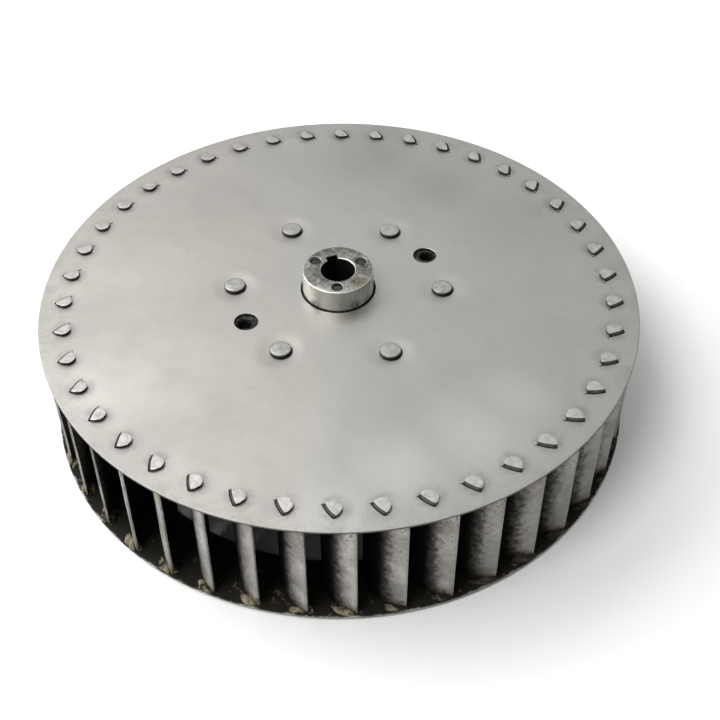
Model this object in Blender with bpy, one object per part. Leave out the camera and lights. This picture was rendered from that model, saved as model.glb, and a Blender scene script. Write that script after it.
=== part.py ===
# Centrifugal fan impeller: a back plate and a front ring joined by a crown of curved sheet
# blades, carried by a flanged hub that is riveted under the back plate.
# Metres, +Z along the shaft axis. The wheel lies on its front ring with the hub on top, the
# origin is on the axis at floor level, and the front of the wheel faces -Y.

from math import atan2, cos, hypot, pi, radians, sin, sqrt, tau

import bmesh
import bpy
from mathutils import Matrix, Vector

# Wheel
WHEEL_RADIUS = 0.210
WHEEL_WIDTH = 0.089  # underside of the front ring to top of the back plate's rim
PLATE_SHEET = 0.0015  # back plate and front ring alike
RING_INNER_RADIUS = 0.168
DISH_RISE = 0.0015  # of the back plate's flat middle above its flat rim
DISH_INNER_RADIUS = 0.092
DISH_OUTER_RADIUS = 0.170
RIM_STEPS = 126
FIT_GAP = 0.0003  # between pieces that touch

# Blades: an arc in plan, leaning back towards the tip
BLADE_COUNT = 42
BLADE_SHEET = 0.0015
BLADE_CURVE_RADIUS = 0.0316
BLADE_TIP_RADIUS = 0.2077
BLADE_TIP_TURN = radians(2.34)  # first blade's tip, counterclockwise from the front
BLADE_TIP_LEAN = radians(71.6)  # from the wheel's radius to the blade's tip
WING_STEP_ANGLES = 3 * [radians(9.26)]  # of the curve on each side of the tabs

# Tabs: the middle of each blade edge runs through a slot and is bent over flat
TAB_STEP_ANGLES = 2 * [radians(10.43)]
TAB_BEND_RADIUS = 0.0005
TAB_BEND_STEPS = 2
TAB_REACH = 0.009
TAB_END_ANGLES = (0, radians(30), radians(60))
SLOT_SLACK = 0.0006  # beside the blade, on its outer side

# Hub: one turned piece with a boss on both sides of a flange
HUB_BOSS_RADIUS = 0.025
HUB_LENGTH = 0.050
HUB_RISE = 0.017  # of the boss above the back plate
HUB_CHAMFER = 0.001
HUB_FLANGE_RADIUS = 0.088
HUB_FLANGE_THICKNESS = 0.008
HUB_LOWER_BOSS_RADIUS = 0.029
HUB_STEPS = 48
BORE_RADIUS = 0.012
BORE_CHAMFER = 0.0005
KEYWAY_WIDTH = 0.008
KEYWAY_TOP = 0.0153  # from the shaft axis
KEYWAY_TURN = radians(18)  # counterclockwise from the back
PIN_HOLE_RADIUS = 0.004
PIN_HOLE_DEPTH = 0.0014
PIN_HOLE_CIRCLE = 0.0186
PIN_HOLE_TURN = radians(-2)
PIN_HOLE_COUNT = 3
PLATE_HOLE_RADIUS = 0.0265

# Rivets and jacking holes
RIVET_CIRCLE = 0.0735
RIVET_COUNT = 6
RIVET_TURN = radians(-32.4)
RIVET_SHANK_RADIUS = 0.0035
RIVET_HEAD_RADIUS = 0.0073
RIVET_HEAD_HEIGHT = 0.0016
RIVET_HEAD_ROUND = 0.0006
RIVET_STEPS = 20
JACKING_CIRCLE = 0.072  # the hub's threads stand on the rivet circle
JACKING_HOLE_TURN = radians(-62.2)
JACKING_HOLE_COUNT = 2
JACKING_PLATE_RADIUS = 0.0083
JACKING_THREAD_RADIUS = 0.005
HOLE_STEPS = 20
CUT_MARGIN = 0.005  # of a cutter past the faces it cuts
SAME_PLACE = 0.00001  # points nearer than this are one

# Heights that follow
RING_BOTTOM = BLADE_SHEET + FIT_GAP
RING_TOP = RING_BOTTOM + PLATE_SHEET
PLATE_TOP = RING_BOTTOM + WHEEL_WIDTH
PLATE_BOTTOM = PLATE_TOP - PLATE_SHEET
DISH_TOP = PLATE_TOP + DISH_RISE
DISH_BOTTOM = PLATE_BOTTOM + DISH_RISE
WHEEL_MIDDLE = (RING_BOTTOM + PLATE_TOP) / 2
BLADE_HEIGHT = PLATE_BOTTOM - RING_TOP - 2 * FIT_GAP
HUB_TOP = DISH_TOP + HUB_RISE
HUB_BOTTOM = HUB_TOP - HUB_LENGTH
FLANGE_TOP = DISH_BOTTOM - FIT_GAP
FLANGE_BOTTOM = FLANGE_TOP - HUB_FLANGE_THICKNESS

# The blade's arc in plan
TIP_ANGLE = BLADE_TIP_LEAN + pi
BLADE_STEP_ANGLES = WING_STEP_ANGLES + TAB_STEP_ANGLES + WING_STEP_ANGLES
BLADE_START = TIP_ANGLE - sum(BLADE_STEP_ANGLES)
TAB_ANGLE = TIP_ANGLE - sum(BLADE_STEP_ANGLES) / 2
TAB_SWEEP = sum(TAB_STEP_ANGLES)
BLADE_INNER_FACE = BLADE_CURVE_RADIUS - BLADE_SHEET / 2
BLADE_OUTER_FACE = BLADE_CURVE_RADIUS + BLADE_SHEET / 2
TIP_POINT = Vector((BLADE_TIP_RADIUS * sin(BLADE_TIP_TURN), -BLADE_TIP_RADIUS * cos(BLADE_TIP_TURN), 0))
CURVE_CENTRE = TIP_POINT - BLADE_CURVE_RADIUS * Vector((cos(TIP_ANGLE), sin(TIP_ANGLE), 0))

# Finishes: colour, roughness, metallic
PLATE_FINISH = ("brushed_stainless", (0.62, 0.61, 0.59), 0.38, 1.0)
BLADE_FINISH = ("sheet_stainless", (0.50, 0.49, 0.47), 0.45, 1.0)
HUB_FINISH = ("turned_steel", (0.52, 0.51, 0.50), 0.35, 1.0)
RIVET_FINISH = ("rivet_steel", (0.58, 0.57, 0.56), 0.40, 1.0)
SMOOTH_ANGLE = radians(35)


def clear_scene():
    for obj in list(bpy.data.objects):
        bpy.data.objects.remove(obj, do_unlink=True)


def finish_material(name, colour, roughness, metallic):
    material = bpy.data.materials.get(name) or bpy.data.materials.new(name)
    material.use_nodes = True
    shader = material.node_tree.nodes["Principled BSDF"]
    shader.inputs["Base Color"].default_value = (*colour, 1)
    shader.inputs["Roughness"].default_value = roughness
    shader.inputs["Metallic"].default_value = metallic
    return material


def solid_mesh(bm, name, finish):
    bmesh.ops.recalc_face_normals(bm, faces=bm.faces)
    mesh = bpy.data.meshes.new(name)
    bm.to_mesh(mesh)
    bm.free()
    mesh.materials.append(finish_material(*finish))
    mesh.shade_smooth()
    mesh.set_sharp_from_angle(angle=SMOOTH_ANGLE)
    return mesh


def place(name, mesh, parent, turn=0.0, location=(0, 0, 0)):
    obj = bpy.data.objects.new(name, mesh)
    obj.parent = parent
    obj.location = location
    obj.rotation_euler.z = turn
    bpy.context.scene.collection.objects.link(obj)
    return obj


def cutter(name, bm, parent):
    obj = place(name, solid_mesh(bm, name, PLATE_FINISH), parent)
    obj.hide_render = True
    obj.display_type = "WIRE"
    return obj


def cut(obj, tool):
    modifier = obj.modifiers.new(tool.name, "BOOLEAN")
    modifier.operation = "DIFFERENCE"
    modifier.solver = "EXACT"
    modifier.object = tool


def extruded(bm, faces, offset):
    # Extrudes the faces, which stay as the foot, and returns their moved copies.
    made = bmesh.ops.extrude_face_region(bm, geom=faces)["geom"]
    moved = [item for item in made if isinstance(item, bmesh.types.BMVert)]
    bmesh.ops.translate(bm, vec=offset, verts=moved)
    return [item for item in made if isinstance(item, bmesh.types.BMFace)]


def extended(bm, faces, offset):
    # Extrudes faces of a solid, whose old ends would lie inside it.
    ends = extruded(bm, faces, offset)
    bmesh.ops.delete(bm, geom=faces, context="FACES")
    return ends


def turned(bm, outline, steps, closed):
    # Turns an outline of (radius, height) points about the shaft axis.
    points = [bm.verts.new((radius, 0, height)) for radius, height in outline]
    edges = [bm.edges.new(pair) for pair in zip(points, points[1:])]
    if closed:
        edges.append(bm.edges.new((points[-1], points[0])))
    bmesh.ops.spin(bm, geom=points + edges, cent=(0, 0, 0), axis=(0, 0, 1), angle=tau, steps=steps)
    bmesh.ops.remove_doubles(bm, verts=bm.verts, dist=SAME_PLACE)


def add_cylinder(bm, radius, bottom, top, circle, turn):
    # Stands on a bolt circle, counted counterclockwise from the front.
    middle = (circle * sin(turn), -circle * cos(turn), (bottom + top) / 2)
    bmesh.ops.create_cone(
        bm,
        cap_ends=True,
        segments=HOLE_STEPS,
        radius1=radius,
        radius2=radius,
        depth=top - bottom,
        matrix=Matrix.Translation(middle),
    )


def around(count, start=0.0):
    return [start + tau * i / count for i in range(count)]


def arc_strip(bm, radii, start, step_angles, height):
    # A level strip along the blade's curve, between two radii.
    centre = CURVE_CENTRE + Vector((0, 0, height))
    outward = Vector((cos(start), sin(start), 0))
    ends = [bm.verts.new(centre + outward * radius) for radius in radii]
    rung = ends + [bm.edges.new(ends)]
    known = set(bm.faces)
    for angle in step_angles:
        rung = bmesh.ops.spin(bm, geom=rung, cent=centre, axis=(0, 0, 1), angle=angle, steps=1)["geom_last"]
    return [face for face in bm.faces if face not in known]


def curve_angle(point):
    offset = point - CURVE_CENTRE
    return atan2(offset.y, offset.x) % tau


def tab_roots(bm, height):
    level = [face for face in bm.faces if abs(face.calc_center_median().z - height) < SAME_PLACE]
    level.sort(key=lambda face: abs(curve_angle(face.calc_center_median()) - TAB_ANGLE))
    return level[: len(TAB_STEP_ANGLES)]


def bend_tab(bm, faces, axis_point, along, side):
    # Spins the neck's end over a right angle, then levels the bend along the curved blade.
    bent = bmesh.ops.spin(
        bm, geom=faces, cent=axis_point, axis=along, angle=-side * pi / 2, steps=TAB_BEND_STEPS
    )["geom_last"]
    bmesh.ops.delete(bm, geom=faces, context="FACES")
    across = along.cross(Vector((0, 0, 1)))
    for vert in bm.verts:
        rise = vert.co.z - axis_point.z
        if side * rise <= SAME_PLACE:
            continue
        reach = hypot((vert.co - axis_point).dot(across), rise)
        outside = reach > TAB_BEND_RADIUS + BLADE_SHEET / 2
        level = TAB_BEND_RADIUS + outside * BLADE_SHEET
        vert.co.z = axis_point.z + rise * level / reach
    return [item for item in bent if isinstance(item, bmesh.types.BMFace)]


def add_tongue(bm, faces, axis_point, along, inward):
    # Extrudes the bent end into a flat tongue with a half-round tip.
    half_width = BLADE_CURVE_RADIUS * sin(TAB_SWEEP / 2)
    straight = TAB_REACH - BLADE_SHEET - TAB_BEND_RADIUS - half_width
    share = 1
    for angle in TAB_END_ANGLES:
        faces = extended(bm, faces, (0, 0, 0))
        for vert in {vert for face in faces for vert in face.verts}:
            sideways = (vert.co - axis_point).dot(along) * cos(angle) / share
            reach = straight + half_width * sin(angle)
            if angle == TAB_END_ANGLES[-1]:
                reach = straight + sqrt(half_width**2 - sideways**2)
            vert.co.xy = (axis_point + along * sideways + inward * reach).xy
        share = cos(angle)


def add_tab(bm, side):
    outward = Vector((cos(TAB_ANGLE), sin(TAB_ANGLE), 0))
    along = Vector((-outward.y, outward.x, 0))
    inner_face = BLADE_INNER_FACE * cos(TAB_SWEEP / 2)
    axis_height = side * (WHEEL_WIDTH / 2 + FIT_GAP - TAB_BEND_RADIUS)
    axis_point = CURVE_CENTRE + outward * (inner_face - TAB_BEND_RADIUS) + Vector((0, 0, axis_height))
    roots = tab_roots(bm, side * BLADE_HEIGHT / 2)
    neck = extended(bm, roots, (0, 0, axis_height - side * BLADE_HEIGHT / 2))
    bend = bend_tab(bm, neck, axis_point, along, side)
    add_tongue(bm, bend, axis_point, along, -outward)


def blade_mesh():
    bm = bmesh.new()
    radii = (BLADE_INNER_FACE, BLADE_OUTER_FACE)
    strip = arc_strip(bm, radii, BLADE_START, BLADE_STEP_ANGLES, -BLADE_HEIGHT / 2)
    extruded(bm, strip, (0, 0, BLADE_HEIGHT))
    for side in (1, -1):
        add_tab(bm, side)
    return solid_mesh(bm, "blade", BLADE_FINISH)


def build_blades(parent):
    mesh = blade_mesh()
    for i, turn in enumerate(around(BLADE_COUNT)):
        place(f"blade_{i + 1:02d}", mesh, parent, turn, (0, 0, WHEEL_MIDDLE))


def slot_cutter(parent):
    # One upright strip for each blade, long enough for both sheets.
    bm = bmesh.new()
    gap_angle = FIT_GAP / BLADE_CURVE_RADIUS
    start = TAB_ANGLE - TAB_SWEEP / 2 - gap_angle
    bottom = RING_BOTTOM - CUT_MARGIN
    radii = (BLADE_INNER_FACE - FIT_GAP, BLADE_OUTER_FACE + SLOT_SLACK)
    strip = arc_strip(bm, radii, start, [gap_angle, *TAB_STEP_ANGLES, gap_angle], bottom)
    extruded(bm, strip, (0, 0, PLATE_TOP + CUT_MARGIN - bottom))
    bmesh.ops.spin(
        bm,
        geom=bm.verts[:] + bm.edges[:] + bm.faces[:],
        cent=(0, 0, 0),
        axis=(0, 0, 1),
        angle=tau - tau / BLADE_COUNT,
        steps=BLADE_COUNT - 1,
        use_duplicate=True,
    )
    return cutter("slot_cutter", bm, parent)


def plate_mesh():
    # The plate's flat middle and its flat rim, with a shallow cone between them.
    outline = [
        (PLATE_HOLE_RADIUS, DISH_TOP),
        (DISH_INNER_RADIUS, DISH_TOP),
        (DISH_OUTER_RADIUS, PLATE_TOP),
        (WHEEL_RADIUS, PLATE_TOP),
        (WHEEL_RADIUS, PLATE_BOTTOM),
        (DISH_OUTER_RADIUS, PLATE_BOTTOM),
        (DISH_INNER_RADIUS, DISH_BOTTOM),
        (PLATE_HOLE_RADIUS, DISH_BOTTOM),
    ]
    bm = bmesh.new()
    turned(bm, outline, RIM_STEPS, closed=True)
    return solid_mesh(bm, "back_plate", PLATE_FINISH)


def build_back_plate(parent, slots):
    plate = place("back_plate", plate_mesh(), parent)
    cut(plate, slots)
    bm = bmesh.new()
    low, high = DISH_BOTTOM - CUT_MARGIN, DISH_TOP + CUT_MARGIN
    for turn in around(RIVET_COUNT, RIVET_TURN):
        add_cylinder(bm, RIVET_SHANK_RADIUS + FIT_GAP, low, high, RIVET_CIRCLE, turn)
    for turn in around(JACKING_HOLE_COUNT, JACKING_HOLE_TURN):
        add_cylinder(bm, JACKING_PLATE_RADIUS, low, high, JACKING_CIRCLE, turn)
    cut(plate, cutter("plate_hole_cutter", bm, parent))


def build_front_ring(parent, slots):
    outline = [
        (WHEEL_RADIUS, RING_TOP),
        (WHEEL_RADIUS, RING_BOTTOM),
        (RING_INNER_RADIUS, RING_BOTTOM),
        (RING_INNER_RADIUS, RING_TOP),
    ]
    bm = bmesh.new()
    turned(bm, outline, RIM_STEPS, closed=True)
    ring = place("front_ring", solid_mesh(bm, "front_ring", PLATE_FINISH), parent)
    cut(ring, slots)


def hub_outline():
    # Closed outline of the turned hub, from the bore's mouth over the boss and round the flange.
    return [
        (BORE_RADIUS, HUB_TOP - BORE_CHAMFER),
        (BORE_RADIUS + BORE_CHAMFER, HUB_TOP),
        (HUB_BOSS_RADIUS - HUB_CHAMFER, HUB_TOP),
        (HUB_BOSS_RADIUS, HUB_TOP - HUB_CHAMFER),
        (HUB_BOSS_RADIUS, FLANGE_TOP),
        (HUB_FLANGE_RADIUS, FLANGE_TOP),
        (HUB_FLANGE_RADIUS, FLANGE_BOTTOM + HUB_CHAMFER),
        (HUB_FLANGE_RADIUS - HUB_CHAMFER, FLANGE_BOTTOM),
        (HUB_LOWER_BOSS_RADIUS + HUB_CHAMFER, FLANGE_BOTTOM),
        (HUB_LOWER_BOSS_RADIUS, FLANGE_BOTTOM - HUB_CHAMFER),
        (HUB_LOWER_BOSS_RADIUS, HUB_BOTTOM + HUB_CHAMFER),
        (HUB_LOWER_BOSS_RADIUS - HUB_CHAMFER, HUB_BOTTOM),
        (BORE_RADIUS + BORE_CHAMFER, HUB_BOTTOM),
        (BORE_RADIUS, HUB_BOTTOM + BORE_CHAMFER),
    ]


def hub_cutter(parent):
    bm = bmesh.new()
    turn = Matrix.Rotation(KEYWAY_TURN, 4, "Z")
    middle = Matrix.Translation((0, KEYWAY_TOP / 2, HUB_TOP - HUB_LENGTH / 2))
    size = Matrix.Diagonal((KEYWAY_WIDTH, KEYWAY_TOP, HUB_LENGTH + 2 * CUT_MARGIN, 1))
    bmesh.ops.create_cube(bm, size=1, matrix=turn @ middle @ size)
    low, high = HUB_TOP - PIN_HOLE_DEPTH, HUB_TOP + CUT_MARGIN
    for turn in around(PIN_HOLE_COUNT, PIN_HOLE_TURN):
        add_cylinder(bm, PIN_HOLE_RADIUS, low, high, PIN_HOLE_CIRCLE, turn)
    low, high = FLANGE_BOTTOM - CUT_MARGIN, FLANGE_TOP + CUT_MARGIN
    for turn in around(RIVET_COUNT, RIVET_TURN):
        add_cylinder(bm, RIVET_SHANK_RADIUS + FIT_GAP, low, high, RIVET_CIRCLE, turn)
    for turn in around(JACKING_HOLE_COUNT, JACKING_HOLE_TURN):
        add_cylinder(bm, JACKING_THREAD_RADIUS, low, high, RIVET_CIRCLE, turn)
    return cutter("hub_cutter", bm, parent)


def build_hub(parent):
    bm = bmesh.new()
    turned(bm, hub_outline(), HUB_STEPS, closed=True)
    hub = place("hub", solid_mesh(bm, "hub", HUB_FINISH), parent)
    cut(hub, hub_cutter(parent))


def rivet_mesh():
    # Heights count from the top of the back plate's middle.
    foot = FLANGE_BOTTOM - FIT_GAP - DISH_TOP
    outline = [
        (0, FIT_GAP + RIVET_HEAD_HEIGHT),
        (RIVET_HEAD_RADIUS - 2 * RIVET_HEAD_ROUND, FIT_GAP + RIVET_HEAD_HEIGHT),
        (RIVET_HEAD_RADIUS, FIT_GAP + RIVET_HEAD_HEIGHT - RIVET_HEAD_ROUND),
        (RIVET_HEAD_RADIUS, FIT_GAP),
        (RIVET_SHANK_RADIUS, FIT_GAP),
        (RIVET_SHANK_RADIUS, foot),
        (RIVET_HEAD_RADIUS, foot),
        (RIVET_HEAD_RADIUS, foot - RIVET_HEAD_HEIGHT + RIVET_HEAD_ROUND),
        (RIVET_HEAD_RADIUS - 2 * RIVET_HEAD_ROUND, foot - RIVET_HEAD_HEIGHT),
        (0, foot - RIVET_HEAD_HEIGHT),
    ]
    bm = bmesh.new()
    turned(bm, outline, RIVET_STEPS, closed=False)
    return solid_mesh(bm, "rivet", RIVET_FINISH)


def build_rivets(parent):
    mesh = rivet_mesh()
    for i, turn in enumerate(around(RIVET_COUNT, RIVET_TURN)):
        spot = (RIVET_CIRCLE * sin(turn), -RIVET_CIRCLE * cos(turn), DISH_TOP)
        place(f"rivet_{i + 1}", mesh, parent, turn, spot)


def main():
    clear_scene()
    impeller = place("impeller", None, None)
    slots = slot_cutter(impeller)
    build_back_plate(impeller, slots)
    build_front_ring(impeller, slots)
    build_hub(impeller)
    build_rivets(impeller)
    build_blades(impeller)


main()
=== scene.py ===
import random
from math import atan2, cos, hypot, pi, radians, sin, sqrt, tau

import bmesh
import bpy
from mathutils import Matrix, Vector


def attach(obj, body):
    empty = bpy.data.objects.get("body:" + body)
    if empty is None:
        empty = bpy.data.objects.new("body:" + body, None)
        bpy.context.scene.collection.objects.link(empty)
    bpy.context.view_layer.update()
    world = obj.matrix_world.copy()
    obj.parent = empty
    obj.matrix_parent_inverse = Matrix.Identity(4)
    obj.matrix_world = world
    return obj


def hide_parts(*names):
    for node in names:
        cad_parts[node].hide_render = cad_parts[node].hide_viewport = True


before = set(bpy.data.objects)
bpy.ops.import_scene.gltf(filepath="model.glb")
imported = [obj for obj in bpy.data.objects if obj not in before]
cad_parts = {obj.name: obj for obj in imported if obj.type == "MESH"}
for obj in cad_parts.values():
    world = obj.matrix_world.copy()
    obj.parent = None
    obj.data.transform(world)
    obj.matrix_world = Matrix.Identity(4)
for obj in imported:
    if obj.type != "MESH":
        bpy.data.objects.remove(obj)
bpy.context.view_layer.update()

print("frame loaded,", len(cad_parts), "nodes")

# Sizes that several pieces share, in metres. Turns count counterclockwise from the front (-Y)
wheel = {
    "radius": 0.21,
    "ringBottom": 0.0018,
    "plateTop": 0.0908,  # of the rim
    "dishTop": 0.0923,  # of the raised middle
    "sheet": 0.0015,
    "rivetCircle": 0.0735,
    "rivetTurn": radians(-32.4),
    "rivetCount": 6,
    "jackingTurn": radians(-62.2),
    "bladeCount": 42,
    "edgeRound": 0.00045,  # of the sheets' edges
}
bladeCurve = {
    "radius": 0.0316,
    "tipRadius": 0.2077,  # of the outer edge, from the wheel's axis
    "tipTurn": radians(2.34),
    "tipLean": radians(71.6),  # direction of the curve's radius at the tip
    "sweep": radians(76.42),
    "tabSweep": radians(20.86),
    "tabReach": 0.009,
}


def heading(angle):
    return Vector((cos(angle), sin(angle), 0))


def spotAt(radius, turn, height=0.0):
    return Vector((radius * sin(turn), -radius * cos(turn), height))


tipPoint = spotAt(bladeCurve["tipRadius"], bladeCurve["tipTurn"])
tipAngle = bladeCurve["tipLean"] + pi
curveCentre = tipPoint - bladeCurve["radius"] * heading(tipAngle)
tabAngle = tipAngle - bladeCurve["sweep"] / 2
tabMiddle = curveCentre + (bladeCurve["radius"] - bladeCurve["tabReach"] / 2) * heading(tabAngle)


def eased(share):
    share = min(max(share, 0), 1)
    return share * share * (3 - 2 * share)


def rivetSpots(height=0.0):
    return [
        spotAt(wheel["rivetCircle"], wheel["rivetTurn"] + tau * i / wheel["rivetCount"], height)
        for i in range(wheel["rivetCount"])
    ]


def jackingSpots(circle):
    return [spotAt(circle, wheel["jackingTurn"] + pi * i) for i in (0, 1)]


# ---- small tools for the mesh work
def pick(piece):
    bpy.ops.object.select_all(action="DESELECT")
    piece.select_set(True)
    bpy.context.view_layer.objects.active = piece


def beginEdit(piece):
    pick(piece)
    bpy.ops.object.mode_set(mode="EDIT")


def endEdit():
    bpy.ops.object.mode_set(mode="OBJECT")


def selectAll():
    bpy.ops.mesh.select_all(action="SELECT")


def named(piece, name):
    piece.name = piece.data.name = name
    return piece


def addMesh(kind, name, **settings):
    bpy.ops.object.select_all(action="DESELECT")
    getattr(bpy.ops.mesh, f"primitive_{kind}_add")(**settings)
    return named(bpy.context.active_object, name)


def copied(piece):
    extra = piece.copy()
    extra.data = piece.data.copy()
    bpy.context.scene.collection.objects.link(extra)
    return extra


def joined(first, second):
    pick(first)
    second.select_set(True)
    bpy.ops.object.join()
    return first


def settle(piece):
    pick(piece)
    bpy.ops.object.transform_apply(location=True, rotation=True, scale=True)


def applyModifier(piece, kind, **settings):
    pick(piece)
    made = piece.modifiers.new(kind.title(), kind)
    for key, value in settings.items():
        setattr(made, key, value)
    bpy.ops.object.modifier_apply(modifier=made.name)


def cutAway(piece, tool):
    applyModifier(piece, "BOOLEAN", operation="DIFFERENCE", solver="EXACT", object=tool)
    bpy.data.objects.remove(tool, do_unlink=True)


def tidyFaces():
    selectAll()
    bpy.ops.mesh.remove_doubles(threshold=1e-5)
    bpy.ops.mesh.normals_make_consistent(inside=False)


def turnPiece(name, outline, steps, closed):
    # a circle, extruded and scaled along the outline of (radius, height) points
    radius, height = outline[0]
    piece = addMesh("circle", name, vertices=steps, radius=radius, location=(0, 0, height))
    settle(piece)
    beginEdit(piece)
    selectAll()
    for nextRadius, nextHeight in [*outline[1:], *([outline[0]] if closed else [])]:
        grow = nextRadius / radius
        bpy.ops.mesh.extrude_edges_move()
        bpy.ops.transform.resize(value=(grow, grow, 1), center_override=(0, 0, 0))
        bpy.ops.transform.translate(value=(0, 0, nextHeight - height))
        radius, height = nextRadius, nextHeight
    if not closed:
        selectAll()
        bpy.ops.mesh.fill_holes(sides=0)
    tidyFaces()
    endEdit()
    return piece


def roundCorner(radius, height, r, low, high):
    # quarter round of an outline's corner, from angle low to angle high in degrees
    turns = [radians(angle) for angle in (low, (low + high) / 2, high)]
    return [(radius + r * cos(turn), height + r * sin(turn)) for turn in turns]


def outerEdge(top):
    # the rounded edge of a sheet at the wheel's radius, from the top face to the underside
    r = wheel["edgeRound"]
    outer, bottom = wheel["radius"] - r, top - wheel["sheet"]
    return roundCorner(outer, top - r, r, 90, 0) + roundCorner(outer, bottom + r, r, 0, -90)


def dress(piece, material):
    piece.data.materials.clear()
    piece.data.materials.append(material)
    settle(piece)
    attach(piece, "root")


def finishPiece(piece, material, nodeName, sharpAngle):
    dress(piece, material)
    bpy.ops.object.shade_smooth_by_angle(angle=radians(sharpAngle))
    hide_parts(nodeName)


# ---- small tools for the materials: distances in metres, strengths from 0 to 1
def startMaterial(name, metallic, roughness):
    # the tools below add their nodes to this material's tree
    global tree
    material = bpy.data.materials.new(name)
    material.use_nodes = True
    tree = material.node_tree
    shader = tree.nodes["Principled BSDF"]
    shader.inputs["Metallic"].default_value = metallic
    shader.inputs["Roughness"].default_value = roughness
    return material, shader


def addNode(kind, sockets=None, **settings):
    made = tree.nodes.new(kind)
    for key, value in settings.items():
        setattr(made, key, value)
    for key, value in (sockets or {}).items():
        if isinstance(value, bpy.types.NodeSocket):
            tree.links.new(value, made.inputs[key])
        else:
            made.inputs[key].default_value = value
    return made


def objectPoint():
    return addNode("ShaderNodeTexCoord").outputs["Object"]


def axis(vector, name):
    return addNode("ShaderNodeSeparateXYZ", {0: vector}).outputs[name]


def facingUp():
    # 1 where the surface looks up, -1 where it looks down
    return axis(addNode("ShaderNodeTexCoord").outputs["Normal"], "Z")


def stretched(point, size, turn=0.0):
    # size is the length, width and height of one cell of the texture
    sockets = {"Vector": point, "Scale": size, "Rotation": (0, 0, turn)}
    return addNode("ShaderNodeMapping", sockets, vector_type="TEXTURE").outputs[0]


def noise(point, scale, detail=4.0, rough=0.55, warp=0.0):
    sockets = {"Vector": point, "Scale": scale, "Detail": detail, "Roughness": rough, "Distortion": warp}
    return addNode("ShaderNodeTexNoise", sockets).outputs["Fac"]


def spread(value, low, high, toLow=0.0, toHigh=1.0, smooth=True):
    sockets = {"Value": value, "From Min": low, "From Max": high, "To Min": toLow, "To Max": toHigh}
    kind = "SMOOTHSTEP" if smooth else "LINEAR"
    return addNode("ShaderNodeMapRange", sockets, interpolation_type=kind).outputs["Result"]


def mathTool(operation):
    def tool(*values, clamp=False):
        # the operation is done over all the values, from left to right
        total = values[0]
        for value in values[1:]:
            made = addNode("ShaderNodeMath", {0: total, 1: value}, operation=operation, use_clamp=clamp)
            total = made.outputs[0]
        return total

    return tool


plus, minus, times = [mathTool(operation) for operation in ("ADD", "SUBTRACT", "MULTIPLY")]
largest, smallest, bearing = [mathTool(operation) for operation in ("MAXIMUM", "MINIMUM", "ARCTAN2")]


def blend(factor, a, b):
    made = addNode("ShaderNodeMix", {0: factor}, data_type="RGBA")
    for socket, colour in ((made.inputs[6], a), (made.inputs[7], b)):
        if isinstance(colour, bpy.types.NodeSocket):
            tree.links.new(colour, socket)
        else:
            socket.default_value = (*colour, 1)
    return made.outputs[2]


def away(point, middle, flat=True):
    # distance of the point from a spot, in plan or in space
    factors = (1, 1, 0) if flat else (1, 1, 1)
    flatPoint = addNode("ShaderNodeVectorMath", {0: point, 1: factors}, operation="MULTIPLY").outputs[0]
    made = addNode("ShaderNodeVectorMath", {0: flatPoint, 1: middle}, operation="DISTANCE")
    return made.outputs["Value"]


def nearest(point, spots):
    return smallest(*[away(point, spot) for spot in spots])


def patches(point, rows):
    # the strongest of several soft spots; a row is a place in plan or in space, a reach and a strength
    spots = []
    for *place, reach, strength in rows:
        gap = away(point, (*place, 0)[:3], flat=len(place) == 2)
        spots.append(spread(gap, reach, 0, 0, strength))
    return largest(*spots)


def paint(shader, look, base, coats, rough=None):
    # every coat, a strength and a tone, lies over the ones before it
    colour = look[base]
    for strength, tone in coats:
        colour = blend(strength, colour, look[tone] if isinstance(tone, str) else tone)
    tree.links.new(colour, shader.inputs["Base Color"])
    if rough:
        tree.links.new(rough, shader.inputs["Roughness"])


def bump(shader, height, distance):
    made = addNode("ShaderNodeBump", {"Height": height, "Distance": distance, "Strength": 1.0})
    tree.links.new(made.outputs[0], shader.inputs["Normal"])


def matt(shader, dirtAndShade, most=0.85):
    # dirt, and the places painted dark as shade, are no metal and hardly shine
    metal = minus(shader.inputs["Metallic"].default_value, times(dirtAndShade, most), clamp=True)
    tree.links.new(metal, shader.inputs["Metallic"])
    shine = spread(dirtAndShade, 0, 1, 0.5, 0.12, smooth=False)
    tree.links.new(shine, shader.inputs["Specular IOR Level"])


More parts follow.
